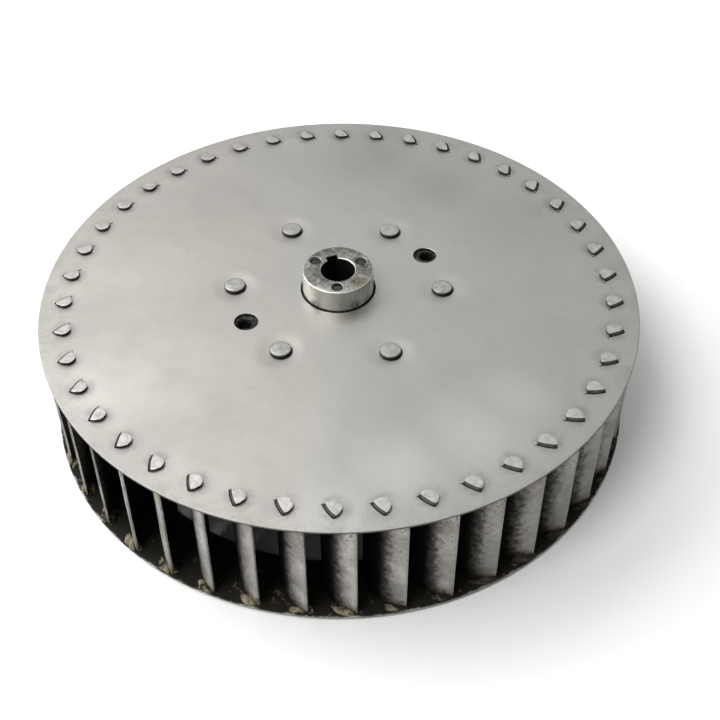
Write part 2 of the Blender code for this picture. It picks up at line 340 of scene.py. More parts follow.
# ---- materials
plateLook = {
    "warm": (0.512, 0.492, 0.464),
    "cool": (0.478, 0.486, 0.464),
    "dull": (0.42, 0.415, 0.398),
    "smudgeAndShade": (0.34, 0.33, 0.31),
    "grime": (0.13, 0.115, 0.095),
    "inside": (0.045, 0.04, 0.034),
    "baked": (0.105, 0.095, 0.079),
    "rust": (0.125, 0.085, 0.055),
    "wall": (0.03, 0.027, 0.022),
    "grainTurn": radians(24),
    "rough": (0.44, 0.5),
    # soft smudges: x, y, reach, strength
    "smudges": [
        (0.04, 0.163, 0.02, 0.3),
        (0.082, 0.114, 0.03, 0.18),
        (0.156, 0.085, 0.016, 0.42),
        (0.17, 0.08, 0.013, 0.35),
        (0.199, 0.049, 0.012, 0.4),
        (0.19, 0.11, 0.014, 0.3),
        (-0.02, 0.07, 0.026, 0.16),
        (0.052, 0.07, 0.026, 0.14),
        (-0.008, -0.186, 0.022, 0.2),
        (-0.18, -0.1, 0.012, 0.25),
    ],
    # broad places painted darker: painted shade
    "shade": [
        (0.03, 0.165, 0.065, 0.48),
        (0.085, 0.125, 0.06, 0.34),
        (-0.07, -0.105, 0.06, 0.2),
        (-0.115, -0.045, 0.06, 0.16),
        (-0.09, 0.095, 0.06, 0.12),
        (0.135, 0.085, 0.07, 0.26),
    ],
    # painted highlights: places painted lighter where the metal catches the light
    "shine": [
        (-0.15, -0.1, 0.045, 0.65),
        (0.035, -0.165, 0.045, 0.75),
        (0.085, -0.138, 0.05, 0.75),
        (0.112, -0.108, 0.04, 0.6),
        (-0.005, -0.2, 0.05, 0.7),
    ],
    "bright": (0.6, 0.588, 0.562),
    # radii from the axis where a state begins and where it is full
    "filmRadius": (0.186, 0.198),
    "gritRadius": (0.185, 0.205),
    "rimRadius": (0.2025, 0.21),
    "edgeRadius": (0.2094, 0.2099),
    "wallRadius": (0.2085, 0.2095),
    "haloReach": (0.0125, 0.0055),  # from the middle of a tab
    "shadowReach": (0.0082, 0.0074),  # from a rivet
    "shadowOffset": (0.0005, -0.0003, 0),
}


def tabDistance(point, radius):
    # how far the nearest tab is: the angle is folded to one blade's share of the wheel
    half = pi / wheel["bladeCount"]
    angle = bearing(axis(point, "Y"), axis(point, "X"))
    angle = minus(angle, atan2(tabMiddle.y, tabMiddle.x))
    folded = addNode("ShaderNodeMath", {0: angle, 1: half, 2: -half}, operation="WRAP").outputs[0]
    aside, inward = times(folded, tabMiddle.length), minus(radius, tabMiddle.length)
    return away(addNode("ShaderNodeCombineXYZ", {0: aside, 1: inward}).outputs[0], (0, 0, 0))


def makePlateMaterial():
    look = plateLook
    material, shader = startMaterial("plateSteel", 1.0, 0.4)
    point = objectPoint()
    radius = away(point, (0, 0, 0))
    facing = facingUp()
    clouds = noise(point, 11, 4, 0.6, 0.4)
    mottle = noise(point, 75, 5, 0.6)
    grain = noise(stretched(point, (0.05, 0.0012, 0.02), look["grainTurn"]), 1, 4, 0.7)
    drift = spread(noise(point, 6, 3), 0.3, 0.7, -0.05, 0.05)
    across = plus(axis(point, "X"), drift)
    coats = [
        (spread(across, -0.09, 0.05), "cool"),
        (spread(clouds, 0.4, 0.7, 0, 0.4), "dull"),
        (spread(mottle, 0.52, 0.75, 0, 0.25), "dull"),
    ]
    uneven = spread(noise(point, 95, 5, 0.65, 0.8), 0.3, 0.6)
    stain = times(patches(point, look["smudges"]), uneven)
    coats += [
        (stain, "smudgeAndShade"),
        # painted shade: broad patches painted darker
        (patches(point, look["shade"]), "smudgeAndShade"),
        # painted highlights
        (patches(point, look["shine"]), "bright"),
    ]
    # a soft darker halo round every tab, and a patchy film all the way round
    halo = spread(tabDistance(point, radius), *look["haloReach"])
    uneven = spread(noise(point, 90, 4, 0.6, 0.5), 0.38, 0.62, 0.15, 0.8)
    coats.append((times(halo, uneven), "smudgeAndShade"))
    uneven = spread(noise(point, 38, 5, 0.6, 0.6), 0.48, 0.62, 0, 0.26)
    film = times(spread(radius, *look["filmRadius"]), uneven)
    coats.append((film, "smudgeAndShade"))
    grit = spread(noise(point, 780, 4, 0.8), 0.48, 0.68, 0, 0.42)
    grit = times(grit, spread(radius, *look["gritRadius"], 0.35, 1))
    coats.append((grit, "smudgeAndShade"))
    specks = spread(noise(point, 620, 6, 0.85), 0.52, 0.66)
    rim = times(spread(radius, *look["rimRadius"]), specks, 0.55)
    rim = largest(rim, spread(radius, *look["edgeRadius"], 0, 0.5))
    coats.append((rim, "grime"))
    # dust has baked on where the plate faces into the wheel
    under = spread(facing, -0.2, -0.5)
    coat = spread(noise(point, 26, 6, 0.65, 0.6), 0.42, 0.62)
    baked = blend(coat, look["inside"], look["baked"])
    rusty = spread(noise(point, 140, 5, 0.7, 0.4), 0.56, 0.68, 0, 0.6)
    baked = blend(rusty, baked, look["rust"])
    coats.append((times(under, spread(mottle, 0.2, 0.6, 0.75, 1)), baked))
    # a painted shadow along the front right of every rivet head
    offset = Vector(look["shadowOffset"])
    line = nearest(point, [spot + offset for spot in rivetSpots()])
    coats.append((spread(line, *look["shadowReach"], 0, 0.9), "wall"))
    # painted shade on the cut walls of the holes and slots; the rim's own edge is painted only about half as
    # dark
    wall = minus(spread(facing, 0.75, 0.45), under)
    wall = times(wall, spread(radius, *look["wallRadius"], 0.95, 0.55))
    coats.append((wall, "wall"))
    # dull and no metal where there is dirt and on the walls painted as shade
    dusty = largest(rim, under, wall)
    rough = spread(grain, 0.3, 0.7, *look["rough"])
    rough = plus(rough, spread(clouds, 0.3, 0.7, -0.03, 0.05))
    paint(shader, look, "warm", coats, plus(rough, times(dusty, 0.25), clamp=True))
    matt(shader, dusty)
    waves = noise(point, 26, 2, 0.5)
    bump(shader, plus(times(grain, 0.004), waves), 0.0006)
    return material


bladeLook = {
    "clean": (0.52, 0.505, 0.475),
    "dull": (0.33, 0.322, 0.295),
    "edge": (0.3, 0.295, 0.28),
    "soilAndShade": (0.25, 0.243, 0.218),
    "tab": (0.56, 0.55, 0.53),
    "tabDull": (0.43, 0.42, 0.4),
    "dirt": (0.06, 0.053, 0.043),
    "blackShade": (0.012, 0.011, 0.01),
    "brown": (0.17, 0.125, 0.085),
    "tan": (0.27, 0.225, 0.155),
    # heights and radii where a state begins and where it is full
    "tabHeight": (0.0905, 0.0909),
    "seamHeight": (0.0886, 0.0892),
    "headHeight": (0.0845, 0.0885),
    "rustHeight": (0.07, 0.088),
    "pitHeight": (0.03, 0.088),
    "footHeight": (0.016, 0.004),
    "openTop": (0.0895, 0.0885),
    "openBottom": (0.0017, 0.0034),
    "edgeRadius": (0.20765, 0.2079),
    "innerRadius": (0.2055, 0.2005),
    "deepRadius": (0.203, 0.1965),
}


def makeBladeMaterial():
    look = bladeLook
    material, shader = startMaterial("bladeSteel", 0.9, 0.5)
    point = objectPoint()
    height = axis(point, "Z")
    radius = away(point, (0, 0, 0))
    mottle = noise(point, 130, 6, 0.65, 0.3)
    clouds = noise(point, 34, 4, 0.6, 0.5)
    specks = noise(point, 650, 3, 0.7)
    coats = [(spread(clouds, 0.35, 0.65), "dull"), (spread(mottle, 0.5, 0.72, 0, 0.7), "dull")]
    # the right-hand blades are painted darker: dirt and painted shade
    side = spread(axis(point, "X"), 0.01, 0.13, 0, 0.55)
    # the blades' outer end faces are painted darker, as painted shade
    coats += [(side, "soilAndShade"), (spread(radius, *look["edgeRadius"], 0, 0.55), "edge")]
    worn = spread(noise(point, 240, 5, 0.65, 0.5), 0.4, 0.66)
    tab = blend(worn, look["tab"], look["tabDull"])
    coats.append((spread(height, *look["tabHeight"]), tab))
    # painted shade, with some dirt, in the slots, on the tabs' walls and under the tabs
    tabShade = times(spread(facingUp(), 0.85, 0.68), spread(height, *look["seamHeight"]))
    coats.append((times(tabShade, 0.9), "blackShade"))
    # between the sheets the faces are painted darker inwards, away from the bright tips: painted shade, with
    # pits of dirt
    between = times(spread(height, *look["openTop"]), spread(height, *look["openBottom"]))
    wander = spread(noise(point, 240, 6, 0.7), 0.3, 0.7, 0.0019, -0.0019)
    ragged = plus(radius, wander)
    inner = spread(ragged, *look["innerRadius"], 0, 0.8)
    blackShade = times(spread(ragged, *look["deepRadius"]), between)
    pits = spread(specks, 0.55, 0.63, 0, 0.75)
    pits = times(pits, spread(height, *look["pitHeight"], 0.25, 1))
    darkening = times(largest(inner, pits), between)
    foot = plus(height, spread(mottle, 0.3, 0.7, 0.004, -0.004))
    foot = times(spread(foot, *look["footHeight"]), between)
    dusty = times(foot, 0.75)
    coats += [(dusty, "tan"), (darkening, "dirt"), (blackShade, "blackShade")]
    head = plus(height, spread(specks, 0.35, 0.65, -0.003, 0.003))
    head = times(spread(head, *look["headHeight"], 0, 0.6), between)
    coats.append((head, "dirt"))
    rust = times(spread(height, *look["rustHeight"]), spread(clouds, 0.46, 0.6), between, 0.5)
    coats.append((rust, "brown"))
    crust = spread(noise(point, 260, 5, 0.7, 0.5), 0.5, 0.58)
    coats.append((times(crust, foot, 0.85), "dirt"))
    paint(shader, look, "clean", coats, spread(mottle, 0.3, 0.7, 0.42, 0.58))
    matt(shader, largest(darkening, tabShade, blackShade, dusty))
    bump(shader, plus(times(specks, 0.15), mottle), 0.0003)
    return material


ringLook = {
    "clean": (0.45, 0.44, 0.415),
    "dull": (0.28, 0.27, 0.245),
    "dirt": (0.016, 0.014, 0.011),
    "tan": (0.25, 0.22, 0.13),
    "depositRadius": (0.2108, 0.2092),
    "topHeight": (0.0028, 0.0032),
}


def makeRingMaterial():
    look = ringLook
    material, shader = startMaterial("ringSteel", 0.9, 0.5)
    point = objectPoint()
    height = axis(point, "Z")
    radius = away(point, (0, 0, 0))
    mottle = noise(point, 120, 6, 0.65, 0.4)
    clouds = noise(point, 30, 4, 0.6)
    specks = noise(point, 650, 3, 0.7)
    coats = [(spread(clouds, 0.35, 0.65), "dull"), (spread(specks, 0.54, 0.66, 0, 0.35), "dirt")]
    ragged = plus(radius, spread(mottle, 0.3, 0.7, 0.0012, -0.0012))
    darkening = spread(ragged, *look["depositRadius"])
    darkening = times(darkening, spread(height, *look["topHeight"]))
    coats.append((times(darkening, 0.95), "dirt"))
    dust = spread(noise(point, 170, 4, 0.65, 0.6), 0.6, 0.68, 0, 0.7)
    coats.append((times(dust, darkening), "tan"))
    paint(shader, look, "clean", coats, spread(mottle, 0.3, 0.7, 0.45, 0.65))
    matt(shader, darkening)
    bump(shader, plus(times(specks, 0.3), mottle), 0.0004)
    return material


hubShape = {
    "bossRadius": 0.025,
    "top": 0.1093,
    "bottom": 0.0593,
    "flangeTop": 0.0905,
    "flangeBottom": 0.0825,
    "flangeRadius": 0.088,
    "innerBossRadius": 0.029,
    "bore": 0.012,
    "boreChamfer": 0.0006,
    "chamfer": 0.0007,
    "edgeBreak": 0.00025,  # of the chamfers' own edges
    "fillets": (0.001, 0.002),  # boss to flange, above and below
    "keyWidth": 0.008,
    "keyTop": 0.0153,
    "keyTurn": radians(18),
    "pinRadius": 0.0042,
    "pinDepth": 0.0014,
    "pinCircle": 0.0186,
    "pinTurn": radians(-2),
    "threadRadius": 0.005,
    "threadDepth": 0.00075,
    "threadPitch": 0.0015,
    "threadMouth": 0.0008,
    "cutTop": 0.094,  # of the tools that cut the flange
    "steps": 128,
}


def pinSpots():
    return [spotAt(hubShape["pinCircle"], hubShape["pinTurn"] + tau * i / 3) for i in range(3)]


hubLook = {
    "clean": (0.66, 0.655, 0.61),
    "dull": (0.42, 0.415, 0.375),
    "faceDull": (0.13, 0.13, 0.112),
    "bright": (0.72, 0.71, 0.69),
    "dark": (0.07, 0.065, 0.057),
    "black": (0.012, 0.011, 0.01),
    "brown": (0.22, 0.17, 0.1),
    "soot": (0.11, 0.1, 0.083),
    # dark smears on the end face and the side: x, y, z, reach, strength
    "smears": [
        (-0.008, 0.0205, 0.1093, 0.0065, 0.85),
        (-0.014, 0.0165, 0.1093, 0.005, 0.6),
        (0.001, 0.0205, 0.1093, 0.005, 0.6),
        (0.018, 0.004, 0.1093, 0.005, 0.95),
        (0.019, -0.002, 0.1093, 0.0085, 0.5),
        (0.011, 0.0185, 0.1093, 0.004, 0.45),
        (0.0105, -0.0125, 0.1093, 0.004, 0.9),
        (0.011, -0.0224, 0.095, 0.0085, 1.0),
        (0.02, -0.015, 0.0935, 0.007, 0.65),
        (-0.016, -0.019, 0.094, 0.0065, 0.85),
    ],
    "stains": [(0.014, -0.0145, 0.1093, 0.0075, 0.75)],
    # heights and radii where a state begins and where it is full
    "faceHeight": (0.1084, 0.109),
    "recessTop": (0.1089, 0.1083),
    "recessFloor": (0.107, 0.1074),
    "edgeHeight": (0.108, 0.1082),
    "footShadeHeight": (0.0932, 0.0924),
    "sootHeight": (0.0903, 0.09),
    "boreTop": (0.1088, 0.1084),
    "boreBottom": (0.0598, 0.0604),
    "keyRadius": (0.0155, 0.0157),
    "wallRadius": (0.024, 0.0235),
    "sideRadius": (0.0245, 0.024),
    "boreRadius": (0.016, 0.0158),
    "sootRadius": (0.016, 0.0162),
    "threadShadeReach": (0.0066, 0.006),
    "pinReach": (0.0022, 0.0038),
    "litFrontY": (-0.022, -0.014),
}


def makeHubMaterial():
    look = hubLook
    material, shader = startMaterial("hubSteel", 1.0, 0.45)
    point = objectPoint()
    height = axis(point, "Z")
    radius = away(point, (0, 0, 0))
    facing = facingUp()
    mottle = noise(point, 330, 6, 0.65, 0.4)
    fine = noise(point, 1300, 3, 0.7)
    face = spread(height, *look["faceHeight"])
    streaks = noise(stretched(point, (1, 1, 4)), 110, 5, 0.6, 0.4)
    streaks = spread(streaks, 0.3, 0.7, 0.36, 0.6)
    marks = addNode("ShaderNodeMix", {0: face, 2: streaks, 3: mottle}).outputs[0]
    coats = [(spread(marks, 0.38, 0.68), "dull")]
    worn = spread(noise(point, 260, 6, 0.8, 0.3), 0.34, 0.62, 0.35, 0.95)
    # the dull wear is weaker towards the front, so the front of the end face is painted lighter: painted
    # light
    worn = times(face, worn, spread(axis(point, "Y"), *look["litFrontY"], 0.45, 1))
    worn = times(worn, spread(fine, 0.35, 0.65, 0.8, 1.15), clamp=True)
    coats.append((worn, "faceDull"))
    uneven = spread(noise(point, 70, 4, 0.6), 0.3, 0.6)
    coats.append((times(patches(point, look["stains"]), uneven), "brown"))
    uneven = spread(noise(point, 420, 4, 0.65, 1.0), 0.32, 0.52)
    stain = times(patches(point, look["smears"]), uneven)
    coats.append((stain, "dark"))
    # the shallow recesses are painted near black, as painted shade with some dirt; the bore, keyway and
    # threads are painted black, as painted shade with old grease
    beside = times(spread(radius, *look["keyRadius"]), spread(height, *look["recessFloor"]))
    recessDirtAndShade = times(spread(height, *look["recessTop"]), spread(radius, *look["sideRadius"]))
    paler = spread(nearest(point, pinSpots()), *look["pinReach"], 0.9, 1)
    recessDirtAndShade = times(recessDirtAndShade, beside, paler)
    coats.append((recessDirtAndShade, "black"))
    # painted shade on the steep walls of the recesses
    wall = times(spread(facing, 0.7, 0.4), spread(radius, *look["wallRadius"]), beside)
    # the chamfered edges are painted bright: worn bright, and a painted highlight
    slope = times(spread(facing, 0.25, 0.45), spread(facing, 0.97, 0.9))
    wornAndHighlight = times(slope, spread(height, *look["edgeHeight"], 0, 0.8))
    coats.append((wornAndHighlight, "bright"))
    # painted shade at the foot of the boss, where it meets the plate, and on all below it
    footShade = spread(height, *look["footShadeHeight"])
    footShade = times(footShade, spread(mottle, 0.25, 0.7, 0.85, 1.0))
    coats.append((footShade, "black"))
    # painted shade, with old grease, all down the bore and keyway
    bore = times(spread(height, *look["boreTop"]), spread(height, *look["boreBottom"]))
    bore = times(bore, spread(radius, *look["boreRadius"]))
    below = times(spread(height, *look["sootHeight"]), spread(radius, *look["sootRadius"]))
    sooty = spread(noise(point, 45, 6, 0.6, 0.2), 0.3, 0.75)
    sooty = blend(sooty, look["dark"], look["soot"])
    # the threads seen through the jacking holes are painted black, as painted shade
    threads = nearest(point, jackingSpots(wheel["rivetCircle"]))
    sooty = blend(spread(threads, *look["threadShadeReach"]), sooty, look["black"])
    coats.append((times(below, 0.93), sooty))
    # the bore, keyway and recess walls are painted black as shade
    inside = largest(bore, wall)
    coats.append((inside, "black"))
    dirtAndShade = largest(inside, below, footShade, stain, recessDirtAndShade)
    rough = plus(spread(mottle, 0.3, 0.7, 0.42, 0.6), times(dirtAndShade, 0.2), clamp=True)
    paint(shader, look, "clean", coats, rough)
    matt(shader, dirtAndShade)
    rings = noise(stretched(point, (1, 1, 0.02)), 40, 3, 0.6)
    relief = plus(times(mottle, 0.4), times(rings, 0.35), times(fine, 0.5))
    bump(shader, relief, 0.0001)
    return material


rivetLook = {
    "clean": (0.54, 0.535, 0.51),
    "dull": (0.39, 0.385, 0.36),
    "grime": (0.045, 0.04, 0.034),
    "middle": 0.0874,  # height of the rivet's middle
    "wallShadeReach": (0.00668, 0.00632),
    "footHeight": (0.085, 0.084),
}


def makeRivetMaterial():
    look = rivetLook
    material, shader = startMaterial("rivetSteel", 1.0, 0.4)
    point = objectPoint()
    mottle = noise(point, 260, 6, 0.65, 0.5)
    scuffs = noise(stretched(point, (0.008, 0.0011, 0.008), radians(35)), 1, 3, 0.6)
    coats = [(spread(mottle, 0.35, 0.68), "dull"), (spread(scuffs, 0.6, 0.72, 0, 0.4), "grime")]
    # both heads: their upright walls are painted dark, as shade with some dirt, measured from the middle of
    # the rivet
    height = axis(point, "Z")
    gap = addNode("ShaderNodeMath", {0: minus(height, look["middle"])}, operation="ABSOLUTE").outputs[0]
    root = spread(gap, *look["wallShadeReach"])
    coats.append((times(root, 0.92), "grime"))
    foot = times(spread(height, *look["footHeight"]), spread(mottle, 0.3, 0.6, 0.9, 0.5))
    coats.append((foot, "grime"))
    paint(shader, look, "clean", coats, spread(mottle, 0.3, 0.7, 0.32, 0.52))
    matt(shader, largest(root, foot))
    bump(shader, plus(scuffs, mottle), 0.00015)
    return material


crustLook = {
    "tan": (0.38, 0.33, 0.235),
    "green": (0.21, 0.2, 0.13),
    "black": (0.016, 0.014, 0.011),
    "fleck": (0.045, 0.04, 0.032),
}


def makeCrustMaterial():
    look = crustLook
    material, shader = startMaterial("dirtCrust", 0.0, 0.85)
    point = objectPoint()
    mottle = noise(point, 190, 5, 0.65, 0.5)
    grains = noise(point, 900, 3, 0.7)
    coats = [(spread(mottle, 0.45, 0.58), "green")]
    oily = spread(noise(point, 110, 5, 0.7, 0.6), 0.46, 0.6)
    coats += [(oily, "black"), (spread(grains, 0.52, 0.62, 0, 0.6), "black")]
    # the dirt is darker on the right-hand side of the wheel
    coats.append((spread(axis(point, "X"), 0.015, 0.075, 0, 0.8), "black"))
    paint(shader, look, "tan", coats)
    bump(shader, plus(mottle, grains), 0.0003)
    return material


def makeGrimeMaterial():
    look = crustLook
    material, shader = startMaterial("grimeFill", 0.0, 0.9)
    point = objectPoint()
    flecks = noise(point, 500, 4, 0.7)
    coats = [(spread(flecks, 0.45, 0.65), "fleck")]
    paint(shader, look, "black", coats)
    shader.inputs["Specular IOR Level"].default_value = 0.15
    bump(shader, flecks, 0.0004)
    return material


dirtCrust = makeCrustMaterial()
grimeFill = makeGrimeMaterial()
plateSteel = makePlateMaterial()
bladeSteel = makeBladeMaterial()
ringSteel = makeRingMaterial()
hubSteel = makeHubMaterial()
rivetSteel = makeRivetMaterial()
print("materials made")


# ---- cutters for the slots that the blade tabs pass through
slots = {"slack": 0.0006, "fit": 0.0002, "endRoom": -0.0007, "steps": 10}


def spinCopies():
    selectAll()
    count = wheel["bladeCount"]
    angle = tau * (count - 1) / count
    bpy.ops.mesh.spin(steps=count - 1, dupli=True, angle=angle, center=(0, 0, 0), axis=(0, 0, 1))


def slotBars(bottom, top):
    # one upright bar along the blade's curve, spun round the wheel, with round ends
    near = bladeCurve["radius"] - wheel["sheet"] / 2 - slots["fit"]
    far = bladeCurve["radius"] + wheel["sheet"] / 2 + slots["slack"]
    middle, width = (near + far) / 2, far - near
    start = tabAngle - bladeCurve["tabSweep"] / 2 - slots["endRoom"] / middle
    sweep = bladeCurve["tabSweep"] + 2 * slots["endRoom"] / middle
    bars = addMesh("plane", "slotBars", size=1)
    centre = curveCentre + heading(start) * middle + Vector((0, 0, (bottom + top) / 2))
    turned = Matrix.Rotation(start, 4, "Z") @ Matrix.Rotation(pi / 2, 4, "X")
    bars.matrix_world = Matrix.Translation(centre) @ turned @ Matrix.Diagonal((width, top - bottom, 1, 1))
    settle(bars)
    beginEdit(bars)
    selectAll()
    bpy.ops.mesh.spin(steps=slots["steps"], angle=-sweep, center=curveCentre, axis=(0, 0, 1))
    tidyFaces()
    spinCopies()
    endEdit()
    # the ends are a touch smaller, so that no faces coincide
    size = {"radius": width / 2 * 0.995, "depth": (top - bottom) * 0.98}
    plugs = []
    for angle in (start, start + sweep):
        spot = curveCentre + middle * heading(angle)
        place = (*spot.xy, (bottom + top) / 2)
        plugs.append(addMesh("cylinder", "slotEnds", vertices=12, location=place, **size))
    ends = joined(*plugs)
    settle(ends)
    beginEdit(ends)
    spinCopies()
    endEdit()
    return bars, ends


def cutSlots(piece, bottom, top):
    for tool in slotBars(bottom, top):
        cutAway(piece, tool)


def holeTool(name, outline, spots, steps):
    # a turned plug at every spot
    plug = turnPiece(name, outline, steps, closed=False)
    plugs = [plug] + [copied(plug) for _ in spots[1:]]
    for piece, spot in zip(plugs, spots):
        piece.location = spot
        settle(piece)
    for extra in plugs[1:]:
        joined(plug, extra)
    return plug


# ---- back plate: dished sheet with a rounded rim, drawn down at the rivets
backPlate = {
    "holeRadius": 0.0265,
    "dishInner": 0.092,
    "dishOuter": 0.17,
    "innerRings": [0.0268, 0.029, 0.033, 0.038, 0.044, 0.05, 0.0555],
    "rivetRings": [0.059 + 0.0018 * i for i in range(17)],
    "coneRings": [0.092, 0.098, 0.106, 0.115, 0.125, 0.136, 0.147, 0.157, 0.164, 0.17],
    "rimRings": [0.174, 0.18, 0.186, 0.192, 0.198, 0.203, 0.2065, 0.2088],
    "dentDepth": (0.00025, 0.0007),  # underside, top
    "dentReach": 0.0105,  # beyond the rivet's head
    "headRadius": 0.0073,
    "jackingCircle": 0.072,
    "jackingRadius": 0.0083,
    "jackingChamfer": 0.0007,
    "shankHole": 0.0038,
    "cutBelow": 0.006,  # how far the hole tools stand out of the sheet
    "cutAbove": 0.004,
    "steps": 252,
}


def dishHeight(radius):
    share = (radius - backPlate["dishInner"]) / (backPlate["dishOuter"] - backPlate["dishInner"])
    return wheel["plateTop"] + (wheel["dishTop"] - wheel["plateTop"]) * (1 - eased(share))


def plateOutline():
    spec = backPlate
    radii = spec["innerRings"] + spec["rivetRings"] + spec["coneRings"] + spec["rimRings"]
    sheet = wheel["sheet"]
    top = [(radius, dishHeight(radius)) for radius in radii]
    under = [(radius, dishHeight(radius) - sheet) for radius in reversed(radii)]
    hole = spec["holeRadius"]
    mouth = [(hole, wheel["dishTop"] - sheet + 0.0002), (hole, wheel["dishTop"] - 0.0002)]
    return top + outerEdge(wheel["plateTop"]) + under + mouth


def dentAtRivets(piece):
    # the sheet is drawn down a little round every rivet
    spec = backPlate
    spots = rivetSpots()
    for vert in piece.data.vertices:
        gap = min(hypot(vert.co.x - s.x, vert.co.y - s.y) for s in spots) - spec["headRadius"]
        upper = vert.co.z > wheel["dishTop"] - wheel["sheet"] / 2
        depth = spec["dentDepth"][upper]
        vert.co.z -= depth * eased(1 - gap / spec["dentReach"])


def makeBackPlate():
    spec = backPlate
    plate = turnPiece("backPlate", plateOutline(), spec["steps"], closed=True)
    dentAtRivets(plate)
    below, above = spec["cutBelow"], spec["cutAbove"]
    cutSlots(plate, wheel["plateTop"] - below, wheel["plateTop"] + above)
    level = wheel["dishTop"]
    shank = [(spec["shankHole"], level - below), (spec["shankHole"], level + above)]
    cutAway(plate, holeTool("rivetHoles", shank, rivetSpots(), 20))
    narrow = spec["jackingRadius"]
    wide = narrow + spec["jackingChamfer"]
    mouth = [(narrow, level - below), (narrow, level - 0.0003), (wide, level + 0.0004), (wide, level + above)]
    cutAway(plate, holeTool("jackingHoles", mouth, jackingSpots(spec["jackingCircle"]), 48))
    finishPiece(plate, plateSteel, "back_plate", sharpAngle=25)


makeBackPlate()
print("back plate made")


# ---- front ring: flat sheet at the wheel's inlet
frontRing = {
    "innerRadius": 0.168,
    "rings": [0.1685, *backPlate["rimRings"]],
    "steps": 252,
}


def makeFrontRing():
    spec = frontRing
    r = wheel["edgeRound"]
    inner = spec["innerRadius"] + r
    low, high = wheel["ringBottom"], wheel["ringBottom"] + wheel["sheet"]
    outline = [(radius, high) for radius in spec["rings"]] + outerEdge(high)
    outline += [(radius, low) for radius in reversed(spec["rings"])]
    outline += roundCorner(inner, low + r, r, 270, 180) + roundCorner(inner, high - r, r, 180, 90)
    ring = turnPiece("frontRing", outline, spec["steps"], closed=True)
    cutSlots(ring, low - 0.004, high + 0.004)
    finishPiece(ring, ringSteel, "front_ring", sharpAngle=25)


makeFrontRing()
print("front ring made")


# ---- hub: turned boss, flange and inner boss, with keyed bore
def hubOutline():
    spec = hubShape
    c, b, e = spec["chamfer"], spec["boreChamfer"], spec["edgeBreak"]
    top, bottom, boss, bore = spec["top"], spec["bottom"], spec["bossRadius"], spec["bore"]
    lower, flange = spec["innerBossRadius"], spec["flangeRadius"]
    upperFace, lowerFace = spec["flangeTop"], spec["flangeBottom"]
    upperFillet, lowerFillet = spec["fillets"]
    return [
        (bore, top - b - e),
        (bore + 0.0001, top - b),
        (bore + b, top - 0.0001),
        (bore + b + e, top),
        (boss - c - e, top),
        (boss - c, top - 0.0001),
        (boss - 0.0002, top - 0.00045),
        (boss, top - c - e),
        (boss, upperFace + upperFillet),
        (boss + 0.3 * upperFillet, upperFace + 0.3 * upperFillet),
        (boss + upperFillet, upperFace),
        (flange - 0.0005, upperFace),
        (flange, upperFace - 0.0005),
        (flange, lowerFace + 0.001),
        (flange - 0.001, lowerFace),
        (lower + lowerFillet, lowerFace),
        (lower + 0.3 * lowerFillet, lowerFace - 0.3 * lowerFillet),
        (lower, lowerFace - lowerFillet),
        (lower, bottom + c),
        (lower - c, bottom),
        (bore + b, bottom),
        (bore, bottom + b),
    ]


def threadOutline():
    # a zigzag plug that leaves the crests of a thread in the flange, with a countersunk mouth
    spec = hubShape
    crest, groove = spec["threadRadius"] - spec["threadDepth"], spec["threadRadius"]
    mouth = groove + spec["threadMouth"]
    outline = [(crest, spec["flangeBottom"] - 0.004)]
    height = spec["flangeBottom"] + 0.0004
    while height + spec["threadPitch"] < spec["flangeTop"] - spec["threadMouth"]:
        outline += [(crest, height), (groove, height + spec["threadPitch"] / 2)]
        height += spec["threadPitch"]
    return outline + [(crest, height), (mouth, spec["flangeTop"] + 0.0002), (mouth, spec["cutTop"])]


def makeHub():
    spec = hubShape
    hub = turnPiece("hubBody", hubOutline(), spec["steps"], closed=True)
    key = addMesh("cube", "keyway", size=1)
    middle = Vector((0, spec["keyTop"] / 2, (spec["top"] + spec["bottom"]) / 2))
    size = Matrix.Diagonal((spec["keyWidth"], spec["keyTop"], spec["top"] - spec["bottom"] + 0.01, 1))
    key.matrix_world = Matrix.Rotation(spec["keyTurn"], 4, "Z") @ Matrix.Translation(middle) @ size
    settle(key)
    cutAway(hub, key)
    r, top = spec["pinRadius"], spec["top"]
    pin = [(r - 0.0006, top - spec["pinDepth"]), (r, top - spec["pinDepth"] + 0.0003)]
    pin += [(r, top - 0.0002), (r + 0.0004, top + 0.0002), (r + 0.0004, top + 0.003)]
    cutAway(hub, holeTool("pinHoles", pin, pinSpots(), 32))
    hole = backPlate["shankHole"]
    shank = [(hole, spec["flangeBottom"] - 0.004), (hole, spec["cutTop"])]
    cutAway(hub, holeTool("shankHoles", shank, rivetSpots(), 20))
    cutAway(hub, holeTool("threads", threadOutline(), jackingSpots(wheel["rivetCircle"]), 32))
    finishPiece(hub, hubSteel, "hub", sharpAngle=25)


makeHub()
print("hub made")


# ---- rivets: low flattened heads
rivetShape = {
    # radius and height above the plate, from the middle of the head to its edge
    "head": [
        (0.0025, 0.00188),
        (0.005, 0.00184),
        (0.0062, 0.00178),
        (0.0069, 0.00166),
        (0.00725, 0.00138),
        (0.0073, 0.00095),
    ],
    "footRadius": 0.0072,
    "sink": 0.0004,  # of the head's underside, where the sheet is drawn down
    "shankRadius": 0.0035,
    "length": 0.0098,  # between the heads
    "tilt": 0.012,
    "waviness": 0.012,
    "steps": 40,
}


